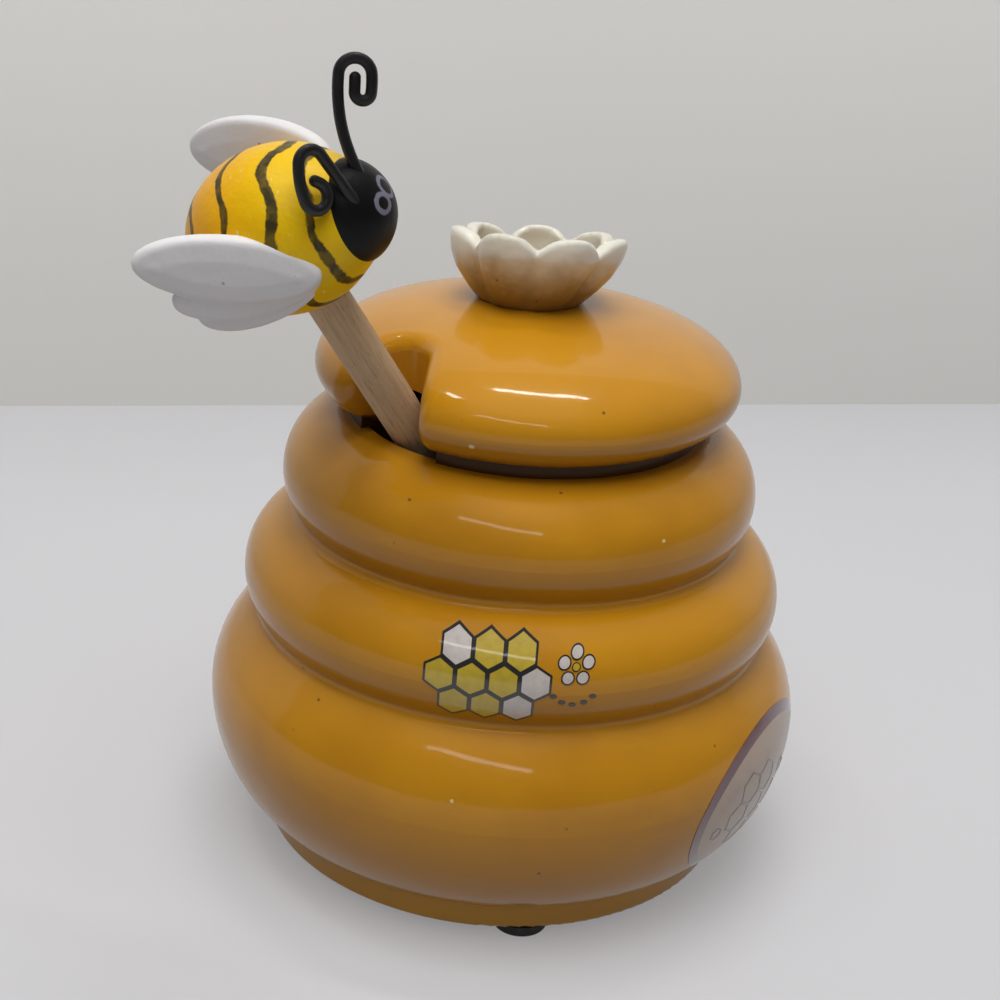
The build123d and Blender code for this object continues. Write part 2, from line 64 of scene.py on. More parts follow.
# The dipper leans out of the notch; the bee sits on its end, turned about the stick.
DIPPER_LEAN = 36.3
DIPPER_AZIMUTH = 224.0
HEAD_END = (19.01 + POT_AXIS_X, 18.35, 13.12)
BEE_HEIGHT = 138.7
BEE_SHIFT = 0.3
BEE_TURN = 35.0
BEE_PITCH = 3.0

# Wings: root ahead, beside and above on the bee, then splay, tilt and sweep in degrees, and
# three overlapping lobes of length, width, thickness and fan angle.
WINGS = {
    "right": (-1, (8.4, -11.08, -1.9), (15.5, 12.4, 27.0),
              ((28.5, 11.0, 3.0, 0.0), (23.6, 9.6, 2.5, -17.0), (21.2, 9.8, 2.1, -27.5))),
    "left": (1, (7.0, 11.71, 2.4), (18.7, -24.0, 12.2),
             ((30.2, 12.1, 3.0, 0.0), (25.0, 10.4, 2.5, -18.0), (20.9, 12.1, 2.1, -31.0))),
}
# How far each lobe lies behind the one before, in millimetres. Then its rounding and its crown's
# rise, as shares of its thickness, and its crown's margin, as a share of its width.
LOBE_SETBACK = 0.85
LOBE_EDGE_SHARE = 0.42
CROWN_SHARE = 0.12
CROWN_MARGIN = 0.2


# ---------------------------------------------------------------- settings

class HoneyPotGlaze(bpy.types.PropertyGroup):
    """Colours and finish of the glazed pieces"""
    amber: FloatVectorProperty(
        name="Amber", description="Main colour of the pot and the lid",
        subtype="COLOR", size=3, min=0, max=1, default=(0.56, 0.248, 0.008))
    # Also painted light: the foot band is lightened to this colour, as if lit from the table below.
    amber_thin_and_lit: FloatVectorProperty(
        name="Amber where thin", description="Colour of the glaze over crests",
        subtype="COLOR", size=3, min=0, max=1, default=(0.63, 0.31, 0.018))
    # Also painted shade: the downward-facing low side of each coil is darkened to this colour.
    amber_deep_and_shade: FloatVectorProperty(
        name="Amber where pooled", description="Colour of the glaze in hollows and streaks",
        subtype="COLOR", size=3, min=0, max=1, default=(0.38, 0.155, 0.008))
    speck: FloatVectorProperty(
        name="Specks", description="Colour of the fine specks in the glaze",
        subtype="COLOR", size=3, min=0, max=1, default=(0.12, 0.05, 0.012))
    cream: FloatVectorProperty(
        name="Cream", description="Colour of the flower",
        subtype="COLOR", size=3, min=0, max=1, default=(0.80, 0.77, 0.66))
    # Also painted shade and a painted reflection of the amber lid, low on the flower.
    cream_deep_and_shade: FloatVectorProperty(
        name="Cream near the base", description="Colour of the flower's foot and hollows",
        subtype="COLOR", size=3, min=0, max=1, default=(0.30, 0.185, 0.060))


class HoneyPotDipper(bpy.types.PropertyGroup):
    """Colours of the dipper and its bee"""
    wood: FloatVectorProperty(
        name="Wood", description="Light colour of the stick's grain",
        subtype="COLOR", size=3, min=0, max=1, default=(0.65, 0.468, 0.286))
    wood_dark: FloatVectorProperty(
        name="Wood grain", description="Dark colour of the stick's grain",
        subtype="COLOR", size=3, min=0, max=1, default=(0.31, 0.20, 0.11))
    yellow: FloatVectorProperty(
        name="Bee yellow", description="Main colour of the bee's body",
        subtype="COLOR", size=3, min=0, max=1, default=(0.86, 0.54, 0.004))
    orange: FloatVectorProperty(
        name="Bee orange", description="Colour of the bee's tail",
        subtype="COLOR", size=3, min=0, max=1, default=(0.84, 0.37, 0.004))
    stripe: FloatVectorProperty(
        name="Stripes", description="Colour of the painted stripes",
        subtype="COLOR", size=3, min=0, max=1, default=(0.045, 0.034, 0.012))
    black: FloatVectorProperty(
        name="Black", description="Colour of the head and the antennae",
        subtype="COLOR", size=3, min=0, max=1, default=(0.005, 0.0045, 0.0045))
    white: FloatVectorProperty(
        name="White", description="Colour of the wings",
        subtype="COLOR", size=3, min=0, max=1, default=(0.78, 0.76, 0.76))
    eye: FloatVectorProperty(
        name="Eye rings", description="Colour of the rings painted round the eyes",
        subtype="COLOR", size=3, min=0, max=1, default=(0.20, 0.19, 0.25))
    grain: FloatProperty(
        name="Softening grain", description="Cell size used when the wings' lobes are merged",
        unit="LENGTH", min=0.0001, max=0.002, default=0.00028)


class HoneyPotPrint(bpy.types.PropertyGroup):
    """Sizes and colours of the printed honeycomb and of the oval label"""
    cell: FloatProperty(
        name="Cell", description="Radius of one honeycomb cell, to its corners",
        unit="LENGTH", min=0.001, max=0.01, default=0.0031)
    line: FloatProperty(
        name="Line", description="Width of the outline inside each cell",
        unit="LENGTH", min=0.0001, max=0.001, default=0.0004)
    film: FloatProperty(
        name="Film", description="Thickness of the printed film",
        unit="LENGTH", min=0.00002, max=0.001, default=0.0001)
    label_width: FloatProperty(
        name="Label width", description="Width of the oval label",
        unit="LENGTH", min=0.01, max=0.08, default=0.0457)
    label_height: FloatProperty(
        name="Label height", description="Height of the oval label",
        unit="LENGTH", min=0.01, max=0.06, default=0.0328)
    border: FloatProperty(
        name="Label border", description="Width of the label's border",
        unit="LENGTH", min=0.0003, max=0.005, default=0.0021)
    yellow: FloatVectorProperty(
        name="Print yellow", description="Colour of the filled cells",
        subtype="COLOR", size=3, min=0, max=1, default=(0.52, 0.37, 0.02))
    ink: FloatVectorProperty(
        name="Print ink", description="Colour of the outlines and dots",
        subtype="COLOR", size=3, min=0, max=1, default=(0.012, 0.011, 0.010))
    white: FloatVectorProperty(
        name="Print white", description="Colour of the pale cells and petals",
        subtype="COLOR", size=3, min=0, max=1, default=(0.60, 0.54, 0.50))
    paper: FloatVectorProperty(
        name="Label paper", description="Colour of the label",
        subtype="COLOR", size=3, min=0, max=1, default=(0.44, 0.33, 0.255))
    label_ink: FloatVectorProperty(
        name="Label ink", description="Colour of the cells printed on the label",
        subtype="COLOR", size=3, min=0, max=1, default=(0.10, 0.085, 0.095))
    mauve: FloatVectorProperty(
        name="Label border colour", description="Colour of the label's border",
        subtype="COLOR", size=3, min=0, max=1, default=(0.13, 0.045, 0.055))


class HoneyPotStage(bpy.types.PropertyGroup):
    """Floor, wall, lamps and camera"""
    floor: FloatVectorProperty(
        name="Floor", description="Colour of the table",
        subtype="COLOR", size=3, min=0, max=1, default=(0.38, 0.376, 0.384))
    wall: FloatVectorProperty(
        name="Wall", description="Colour of the wall behind",
        subtype="COLOR", size=3, min=0, max=1, default=(0.60, 0.59, 0.57))
    floor_lift: FloatProperty(
        name="Table lift", description="How much brighter the table looks than its lamps make it",
        min=0, max=1, default=0.68)
    wall_lift: FloatProperty(
        name="Wall lift", description="How much brighter the wall looks than its lamps make it",
        min=0, max=1, default=0.5)
    ambient: FloatProperty(
        name="Room light", description="Strength of the room's light from behind and above",
        min=0, max=2, default=0.34)
    ambient_front: FloatProperty(
        name="Room light in front", description="Strength of the room's light from low in front",
        min=0, max=2, default=0.10)
    overhead: FloatProperty(
        name="Overhead lamp", description="Power of the broad soft lamp above",
        subtype="POWER", min=0, default=11.4)
    front: FloatProperty(
        name="Front lamp", description="Power of the broad soft lamp in front",
        subtype="POWER", min=0, default=1.2)
    tube: FloatProperty(
        name="Tube lamps", description="Power of the narrow lamps, for each metre of their length",
        subtype="POWER", min=0, default=6.0)
    lens: FloatProperty(
        name="Lens", description="Focal length of the camera",
        unit="CAMERA", min=10, max=300, default=66.6)


# ---------------------------------------------------------------- places

def millimetres(*values):
    """A place given in millimetres, in metres."""
    return Vector(values) * MM


def dipper_frame():
    """Matrix of the dipper: origin at its head's end, Z along the stick, X ahead of the bee."""
    lean, azimuth, turn = radians(DIPPER_LEAN), radians(DIPPER_AZIMUTH), radians(BEE_TURN)
    outward = Vector((cos(azimuth), sin(azimuth), 0))
    along = outward * sin(lean) + Vector((0, 0, cos(lean)))
    side = Vector((0, 0, 1)).cross(outward)
    ahead = side * cos(turn) + along.cross(side) * sin(turn)
    left = along.cross(ahead)
    matrix = Matrix((ahead, left, along)).transposed().to_4x4()
    matrix.translation = millimetres(*HEAD_END)
    return matrix


def bee_frame():
    """Matrix of the bee: origin at its middle, nose along X, left along Y, back along Z."""
    lift = Matrix.Translation(millimetres(BEE_SHIFT, 0, BEE_HEIGHT))
    return dipper_frame() @ lift @ Matrix.Rotation(radians(-BEE_PITCH), 4, "Y")


# ---------------------------------------------------------------- node helpers

class Recipe:
    """A material under construction, with short ways to add its nodes."""

    def __init__(self, name):
        self.material = bpy.data.materials.new(name)
        self.material.use_nodes = True
        self.nodes = self.material.node_tree.nodes
        self.links = self.material.node_tree.links
        self.shader = self.nodes["Principled BSDF"]
        self.place = self.add("ShaderNodeTexCoord").outputs["Object"]

    def add(self, kind, inputs=None, **settings):
        """Add a node, set it up and feed its inputs."""
        node = self.nodes.new(kind)
        for key, value in settings.items():
            setattr(node, key, value)
        for key, value in (inputs or {}).items():
            self.feed(node.inputs[key], value)
        return node

    def feed(self, socket, value):
        """Link a socket, or give it a constant."""
        if isinstance(value, bpy.types.NodeSocket):
            self.links.new(value, socket)
        else:
            socket.default_value = value

    def finish(self, **values):
        """Constants and links for the shader's own sockets."""
        for key, value in values.items():
            self.feed(self.shader.inputs[key.replace("_", " ")], value)
        return self.material

    def within(self, matrix):
        """Object coordinates as seen from a frame of their own, still in metres."""
        return self.add(
            "ShaderNodeMapping",
            {"Vector": self.place, "Location": matrix.translation, "Rotation": matrix.to_euler()},
            vector_type="TEXTURE",
        ).outputs[0]

    def stretched(self, vector, x, y, z):
        """A vector with each part multiplied."""
        return self.add("ShaderNodeMapping", {"Vector": vector, "Scale": (x, y, z)}).outputs[0]

    def noise(self, scale, detail=3.0, rough=0.5, vector=None):
        """Cloudy value from 0 to 1."""
        return self.add("ShaderNodeTexNoise", {
            "Vector": vector or self.place, "Scale": scale, "Detail": detail, "Roughness": rough,
        }).outputs["Fac"]

    def cells(self, scale, vector=None):
        """Random cells: each one's colour, and the distance from its middle."""
        return self.add(
            "ShaderNodeTexVoronoi", {"Vector": vector or self.place, "Scale": scale}).outputs

    def maths(self, operation, first, second=0.0, third=0.0):
        """One sum with up to three values."""
        node = self.add("ShaderNodeMath", operation=operation)
        for socket, value in zip(node.inputs, (first, second, third)):
            self.feed(socket, value)
        return node.outputs[0]

    def spread(self, value, low, high, to_low=0.0, to_high=1.0):
        """Turn a range of a value smoothly into another range, held at its ends."""
        return self.add("ShaderNodeMapRange", {
            "Value": value, "From Min": low, "From Max": high, "To Min": to_low, "To Max": to_high,
        }, interpolation_type="SMOOTHSTEP").outputs["Result"]

    def blend(self, share, first, second, mode="MIX"):
        """Mix a share of the second colour into the first."""
        node = self.add("ShaderNodeMix", data_type="RGBA", blend_type=mode)
        self.feed(node.inputs["Factor"], share)
        for name, value in (("A", first), ("B", second)):
            socket = [s for s in node.inputs if s.name == name and s.type == "RGBA"][0]
            self.feed(socket, value)
        return [s for s in node.outputs if s.type == "RGBA"][0]

    def split(self, vector):
        """The three parts of a vector."""
        return self.add("ShaderNodeSeparateXYZ", {"Vector": vector}).outputs

    def specks(self, scale, rarity, low, high, vector=None, channel=0):
        """Share of a speck in the middle of a few cells: soft at the edge from low to high."""
        dots = self.cells(scale, vector)
        rare = self.maths("LESS_THAN", self.split(dots["Color"])[channel], rarity)
        return self.maths("MULTIPLY", rare, self.spread(dots["Distance"], low, high))

    def distance(self, vector, place):
        """Distance of a vector from a place given in millimetres."""
        return self.add(
            "ShaderNodeVectorMath", {0: vector, 1: millimetres(*place)}, operation="DISTANCE",
        ).outputs["Value"]

    def bump(self, height, strength, distance, below=None):
        """Normal of a surface raised by a height, over another bump if one is given."""
        inputs = {"Height": height, "Strength": strength, "Distance": distance}
        if below is not None:
            inputs["Normal"] = below
        return self.add("ShaderNodeBump", inputs).outputs[0]


def colour(value):
    """A colour setting with its alpha."""
    return (*value, 1.0)


# ---------------------------------------------------------------- materials

# Chips where the pale body shows through the glaze: place and size in millimetres.
LID_CHIPS = (((-5.6, -37.5, 90.8), 0.55), ((-6.9, -32.9, 101.3), 0.35))
POT_CHIPS = (((27.6, -35.0, 75.9), 0.35), ((-4.1, -54.8, 34.1), 0.4))

# Tops of the pot's plain foot band, which gets no painted shade but a painted glow of light from
# the table, and of the lid's sunk skirt, which gets a painted shadow; how far the glaze changes
# above the band, and the skirt's radius, in millimetres.
BAND_TOP = 7.1
BAND_FADE = 4.0
SKIRT_TOP = 87.4
SKIRT_REACH = 33.2

# Colours that aren't settings.
BARE_CLAY = (0.72, 0.55, 0.30, 1.0)
# The painted shadow in the gap under the lid.
SKIRT_PAINTED_SHADOW = (0.085, 0.036, 0.008, 1.0)
SCRATCH = (0.82, 0.78, 0.62, 1.0)
DIRT = (0.2, 0.15, 0.12, 1.0)
RUBBER_BLACK = (0.02, 0.02, 0.02, 1.0)
BLACK = (0.0, 0.0, 0.0, 1.0)

# The bee's stripes go round it in even waves. Each has a place along it, a swing and a width.
STRIPE_WAVES = 6.0
STRIPE_PHASE = radians(216)
STRIPES = ((-10.6, 0.5, 1.1), (-3.2, 0.8, 1.35), (4.9, 0.95, 1.7), (10.1, 0.25, 1.1))

# The rings round its eyes: middle in the bee's frame, and radius, in millimetres.
EYES = (((19.9, -1.9, 1.3), 1.85), ((19.3, 1.75, 1.75), 1.8))


def glaze_material(settings, chips, name="amber_glaze", skirt=0.0):
    """Glossy amber glaze: cloudy in depth, with fine specks and chips, and with painted light: painted
    shade where each coil faces down, and a painted glow of light from the table on the foot band.

    The share given as skirt says how strongly a painted shadow, dark brown with little coat, covers
    the lid's sunk skirt, where the gap under the lid is in shade.
    """
    r = Recipe(name)
    cloud = r.noise(28.0, 3.0, 0.55)
    streak = r.noise(1.0, 3.0, 0.6, r.stretched(r.place, 60.0, 60.0, 260.0))
    deep = r.maths("MULTIPLY", r.spread(cloud, 0.42, 0.72), 0.45)
    tone = r.blend(deep, colour(settings.amber), colour(settings.amber_deep_and_shade))
    tone = r.blend(r.spread(streak, 0.5, 0.8, 0.0, 0.25), tone, colour(settings.amber_thin_and_lit))
    # Painted shade: where the surface faces down, low on each coil, the glaze is darkened towards the
    # deep amber, though not on the foot band.
    normal = r.add("ShaderNodeNewGeometry").outputs["Normal"]
    painted_shade_below = r.spread(r.split(normal)[2], 0.35, -0.7, 0.0, 0.75)
    x, y, height = r.split(r.place)
    above_band = r.spread(height, BAND_TOP * MM, (BAND_TOP + BAND_FADE) * MM)
    tone = r.blend(r.maths("MULTIPLY", painted_shade_below, above_band), tone, colour(settings.amber_deep_and_shade))
    # Painted light: the foot band is lightened towards the thin amber, standing in for light bounced up
    # from the table.
    tone = r.blend(r.spread(above_band, 0.6, 0.0, 0.0, 0.5), tone, colour(settings.amber_thin_and_lit))
    # Painted shadow: on the lid's sunk skirt the glaze turns dark brown and loses most of its coat,
    # standing in for the shade in the gap under the lid.
    aside = r.maths("SUBTRACT", x, POT_AXIS_X * MM)
    reach = r.maths("SQRT", r.maths("MULTIPLY_ADD", aside, aside, r.maths("MULTIPLY", y, y)))
    painted_gap_shadow = r.maths(
        "MULTIPLY", r.spread(height, (SKIRT_TOP + 0.4) * MM, (SKIRT_TOP - 0.4) * MM, 0.0, skirt),
        r.spread(reach, (SKIRT_REACH + 0.3) * MM, (SKIRT_REACH - 0.1) * MM))
    tone = r.blend(painted_gap_shadow, tone, SKIRT_PAINTED_SHADOW)
    speck = r.specks(520.0, 0.016, 0.22, 0.1)
    tone = r.blend(r.maths("MULTIPLY", speck, 0.8), tone, colour(settings.speck))
    ragged = r.maths("SUBTRACT", r.noise(900.0, 3.0, 0.6), 0.5)
    for place, size in chips:
        edge = r.maths("MULTIPLY_ADD", ragged, 1.6 * size * MM, r.distance(r.place, place))
        bare = r.spread(edge, size * MM, 0.6 * size * MM)
        tone = r.blend(bare, tone, BARE_CLAY)
    wave = r.noise(45.0, 2.0, 0.4)
    pits = r.noise(900.0, 1.0)
    normal = r.bump(wave, 0.12, 0.004)
    normal = r.bump(pits, 0.02, 0.0004, normal)
    return r.finish(
        Base_Color=tone, Roughness=0.3, Specular_IOR_Level=0.1, Normal=normal,
        Coat_Weight=r.spread(painted_gap_shadow, 0.0, 1.0, 0.62, 0.1), Coat_Roughness=0.07, Coat_IOR=1.5,
        Coat_Normal=normal)


def flower_frame():
    """Matrix of the flower: its foot's middle, with Z out through the bowl."""
    return Matrix.Translation(millimetres(*FLOWER_FOOT)) @ Matrix.Rotation(radians(-FLOWER_TILT), 4, "X")


def cream_material(settings):
    """Cream glaze of the flower, browner in random clouds and towards its foot, where painted shade and
    a painted reflection of the amber lid join the flower's own brown.
    """
    r = Recipe("cream_glaze")
    z = r.split(r.within(flower_frame()))[2]
    # Browner towards the foot: the flower's own brown under the cream, with painted shade and a painted
    # reflection of the amber lid.
    uneven = r.maths("MULTIPLY_ADD", r.maths("SUBTRACT", r.noise(110.0, 4.0, 0.6), 0.5), 0.010, z)
    low = r.spread(uneven, 0.95 * FLOWER_HEIGHT * MM, 0.2 * FLOWER_HEIGHT * MM)
    cloud = r.spread(r.noise(150.0, 3.0), 0.42, 0.75, 0.0, 0.22)
    tone = r.blend(r.maths("MAXIMUM", low, cloud), colour(settings.cream), colour(settings.cream_deep_and_shade))
    speck = r.specks(700.0, 0.02, 0.28, 0.14)
    tone = r.blend(r.maths("MULTIPLY", speck, 0.7), tone, colour(settings.speck))
    normal = r.bump(r.noise(120.0, 2.0), 0.2, 0.002)
    return r.finish(
        Base_Color=tone, Roughness=0.3, Specular_IOR_Level=0.2, Normal=normal,
        Coat_Weight=0.9, Coat_Roughness=0.05)


def wood_material(settings):
    """Fine straight grain along the stick, with short dark pores."""
    r = Recipe("pale_wood")
    local = r.within(dipper_frame())
    grain = r.noise(1.0, 4.0, 0.6, r.stretched(local, 1900.0, 1900.0, 90.0))
    bands = r.noise(1.0, 2.0, 0.5, r.stretched(local, 420.0, 420.0, 12.0))
    pores = r.noise(1.0, 1.0, 0.5, r.stretched(local, 3600.0, 3600.0, 330.0))
    tone = r.blend(
        r.spread(grain, 0.3, 0.75, 0.0, 0.4), colour(settings.wood), colour(settings.wood_dark))
    tone = r.blend(r.spread(bands, 0.4, 0.75, 0.0, 0.2), tone, colour(settings.wood_dark))
    tone = r.blend(r.spread(pores, 0.6, 0.72, 0.0, 0.3), tone, colour(settings.wood_dark), "MULTIPLY")
    normal = r.bump(grain, 0.25, 0.0006)
    normal = r.bump(pores, 0.3, 0.0003, normal)
    return r.finish(Base_Color=tone, Roughness=0.72, Normal=normal)


def bee_material(settings):
    """Yellow paint, more orange towards the tail, with four wavy brushed stripes."""
    r = Recipe("bee_yellow_paint")
    local = r.within(bee_frame())
    x, y, z = r.split(local)
    tone = r.blend(
        r.spread(x, 0.009, -0.009, 0.0, 0.85), colour(settings.yellow), colour(settings.orange))
    cloud = r.noise(140.0, 3.0, 0.55, local)
    tone = r.blend(r.spread(cloud, 0.5, 0.8, 0.0, 0.4), tone, colour(settings.orange))
    scratch = r.noise(1.0, 2.0, 0.5, r.stretched(local, 1500.0, 420.0, 420.0))
    tone = r.blend(r.spread(scratch, 0.70, 0.78, 0.0, 0.75), tone, SCRATCH)
    around = r.maths("ARCTAN2", y, z)
    wave = r.maths("COSINE", r.maths("MULTIPLY_ADD", around, STRIPE_WAVES, STRIPE_PHASE))
    wobble = r.maths("SUBTRACT", r.noise(150.0, 2.0, 0.5, local), 0.5)
    brush = r.maths("SUBTRACT", r.noise(1100.0, 2.0, 0.6, local), 0.5)
    stripes = None
    for middle, swing, width in STRIPES:
        line = r.maths("MULTIPLY_ADD", wave, swing * MM, middle * MM)
        line = r.maths("MULTIPLY_ADD", wobble, 0.0022, line)
        away = r.maths("ABSOLUTE", r.maths("SUBTRACT", x, line))
        away = r.maths("MULTIPLY_ADD", brush, 0.0005, away)
        stripe = r.spread(away, (width / 2 + 0.15) * MM, (width / 2 - 0.15) * MM)
        stripes = stripe if stripes is None else r.maths("MAXIMUM", stripes, stripe)
    thin = r.spread(r.noise(420.0, 2.0, 0.6, local), 0.35, 0.65, 0.86, 1.0)
    stripes = r.maths("MULTIPLY", stripes, thin)
    tone = r.blend(stripes, tone, colour(settings.stripe))
    normal = r.bump(r.noise(260.0, 3.0, 0.6, local), 0.25, 0.0012)
    normal = r.bump(stripes, 0.2, 0.0002, normal)
    return r.finish(Base_Color=tone, Roughness=0.34, Specular_IOR_Level=0.22, Normal=normal)


def black_material(settings):
    """Satin black paint of the head, with two pale rings for eyes."""
    r = Recipe("bee_black_paint")
    local = r.within(bee_frame())
    rings = None
    for centre, radius in EYES:
        gap = r.distance(local, centre)
        rim = r.maths("ABSOLUTE", r.maths("SUBTRACT", gap, radius * MM))
        rim = r.maths("MULTIPLY_ADD", r.noise(900.0, 2.0, 0.5, local), 0.0004, rim)
        ring = r.spread(rim, 0.00064, 0.00044, 0.0, 0.9)
        rings = ring if rings is None else r.maths("MAXIMUM", rings, ring)
    tone = r.blend(rings, colour(settings.black), colour(settings.eye))
    normal = r.bump(r.noise(300.0, 3.0, 0.6, local), 0.15, 0.001)
    return r.finish(Base_Color=tone, Roughness=0.42, Specular_IOR_Level=0.16, Normal=normal)


def white_material(settings):
    """Satin white paint of the wings, with a few specks of dirt."""
    r = Recipe("wing_white_paint")
    local = r.within(bee_frame())
    speck = r.specks(520.0, 0.05, 0.22, 0.1, local, channel=1)
    tone = r.blend(r.maths("MULTIPLY", speck, 0.6), colour(settings.white), DIRT)
    normal = r.bump(r.noise(220.0, 3.0, 0.5, local), 0.2, 0.0012)
    return r.finish(Base_Color=tone, Roughness=0.5, Normal=normal)


def wire_material(settings):
    """Black coating of the antennae, satin and a little rough."""
    r = Recipe("black_coated_wire")
    normal = r.bump(r.noise(900.0, 2.0), 0.12, 0.0003)
    shade = r.spread(r.noise(300.0, 2.0), 0.3, 0.7, 0.34, 0.5)
    return r.finish(Base_Color=colour(settings.black), Roughness=shade, Normal=normal)


def rubber_material():
    """Matt black rubber of the feet."""
    r = Recipe("foot_rubber")
    normal = r.bump(r.noise(1500.0, 2.0), 0.25, 0.0003)
    shade = r.spread(r.noise(500.0, 2.0), 0.3, 0.7, 0.55, 0.75)
    return r.finish(Base_Color=RUBBER_BLACK, Roughness=shade, Normal=normal)


def print_material(name, value):
    """Ink under the clear glaze, a little uneven in depth."""
    r = Recipe(name)
    uneven = r.spread(r.noise(700.0, 3.0, 0.6), 0.35, 0.75, 0.0, 0.35)
    tone = r.blend(uneven, colour(value), colour([0.6 * c for c in value]))
    return r.finish(Base_Color=tone, Roughness=0.4, Coat_Weight=1.0, Coat_Roughness=0.07)


def paper_material(settings):
    """Satin label paper with faint scuffs."""
    r = Recipe("label_paper")
    scuff = r.spread(r.noise(260.0, 4.0, 0.65), 0.45, 0.75, 0.0, 0.35)
    tone = r.blend(scuff, colour(settings.paper), colour([0.7 * c for c in settings.paper]))
    normal = r.bump(r.noise(1800.0, 2.0), 0.08, 0.0002)
    return r.finish(Base_Color=tone, Roughness=0.3, Normal=normal, Coat_Weight=0.3, Coat_Roughness=0.15)


def dress(node, material):
    """Give a solid a material in its object's own slot."""
    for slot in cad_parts[node].material_slots:
        slot.link = "OBJECT"
        slot.material = material


# ---------------------------------------------------------------- shapes

def edit_all():
    """Enter edit mode with the whole mesh selected."""
    bpy.ops.object.mode_set(mode="EDIT")
    bpy.ops.mesh.select_all(action="SELECT")


def add_modifier(piece, kind, **settings):
    """Add a modifier to a piece and apply it."""
    bpy.ops.object.select_all(action="DESELECT")
    bpy.context.view_layer.objects.active = piece
    piece.select_set(True)
    modifier = piece.modifiers.new(kind.lower(), kind)
    for key, value in settings.items():
        setattr(modifier, key, value)
    bpy.ops.object.modifier_apply(modifier=modifier.name)


def merge_softly(piece, cell, rounds):
    """Merge overlapping closed shapes into one skin with soft creases."""
    add_modifier(piece, "REMESH", mode="VOXEL", voxel_size=cell, use_smooth_shade=True)
    add_modifier(piece, "SMOOTH", factor=0.5, iterations=rounds)


# The flower: how deep a crease between petals is, its half width as a share of a petal, how much
# the bowl is drawn in at its belly, foot and rim, how deep it dips at a crease, how much its lips
# swell and how far its foot is set aside and back. Its petals start this far from its axis, and
# have their full shape a little further out. Last, the cell size of its skin. Lengths are in
# millimetres.
CREASE_DEPTH = 1.0
CREASE_SHARE = 0.12
BELLY_PULL = 0.05
FOOT_PULL = 0.12
RIM_PULL = 0.05
NOTCH_DEPTH = 1.3
LIP_SWELL = 0.4
FOOT_SHIFT = (-1.2, 1.5)
PETAL_START = 7.0
PETAL_FADE = 4.0
FLOWER_CELL = 0.34


def petal_shape(place):
    """Where a point of the flower goes, in its own frame, and how far its lip swells there."""
    reach = hypot(place.x, place.y)
    turn = (atan2(place.y, place.x) - radians(90)) * PETAL_COUNT / (2 * pi)
    off_crease = abs(turn - round(turn - 0.5) - 0.5) / CREASE_SHARE
    height = min(max(place.z / (FLOWER_HEIGHT * MM), 0), 1)
    depth = CREASE_DEPTH * MM * exp(-off_crease**2) * sin(pi * min(0.12 + height, 1) / 1.12)
    outer = min(max((reach / MM - PETAL_START) / PETAL_FADE, 0), 1)
    pull = 1 - outer * depth / max(reach, MM) - BELLY_PULL * outer * sin(pi * min(1.4 * height, 1))
    pull *= 1 - FOOT_PULL * max(1 - 2 * height, 0) - RIM_PULL * height
    notch = NOTCH_DEPTH * MM * exp(-0.5 * off_crease**2) * outer * max(2 * height - 1, 0)
    swell = LIP_SWELL * MM * min(max(5 * height - 3.5, 0), 1) * outer
    aside, back = (shift * (1 - height) * MM for shift in FOOT_SHIFT)
    return Vector((place.x * pull + aside, place.y * pull + back, place.z - notch)), swell


def make_flower(settings):
    """The flower with soft lips, and a moulded crease between each two petals."""
    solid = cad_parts["flower_knob"]
    flower = bpy.data.objects.new("soft_flower", solid.data.copy())
    bpy.context.collection.objects.link(flower)
    flower.data.materials.clear()
    bpy.ops.object.select_all(action="DESELECT")
    bpy.context.view_layer.objects.active = flower
    flower.select_set(True)
    edit_all()
    bpy.ops.mesh.remove_doubles(threshold=0.00001)
    bpy.ops.object.mode_set(mode="OBJECT")
    merge_softly(flower, FLOWER_CELL * MM, 5)
    there = flower_frame()
    back = there.inverted()
    facing = [vertex.normal.copy() for vertex in flower.data.vertices]
    for vertex, normal in zip(flower.data.vertices, facing):
        place, swell = petal_shape(back @ vertex.co)
        vertex.co = normal * swell + there @ place
    add_modifier(flower, "SMOOTH", factor=0.5, iterations=2)
    flower.data.materials.append(cream_material(settings))
    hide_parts("flower_knob")
    return flower


def wing_frame(side, root, angles):
    """Matrix of a wing: X along its first lobe from the root, Y towards the bee's back."""
    splay, tilt, sweep = (radians(angle) for angle in angles)
    outward = Vector((sin(splay) * cos(tilt), side * cos(splay) * cos(tilt), sin(tilt)))
    tail = Vector((-1, 0, 0))
    tail = (tail - outward * tail.dot(outward)).normalized()
    raised = tail.cross(outward) * -side
    along = tail * cos(sweep) + raised * sin(sweep)
    facing = outward * side
    matrix = Matrix((along, facing.cross(along), facing)).transposed().to_4x4()
    matrix.translation = millimetres(*root)
    return bee_frame() @ matrix


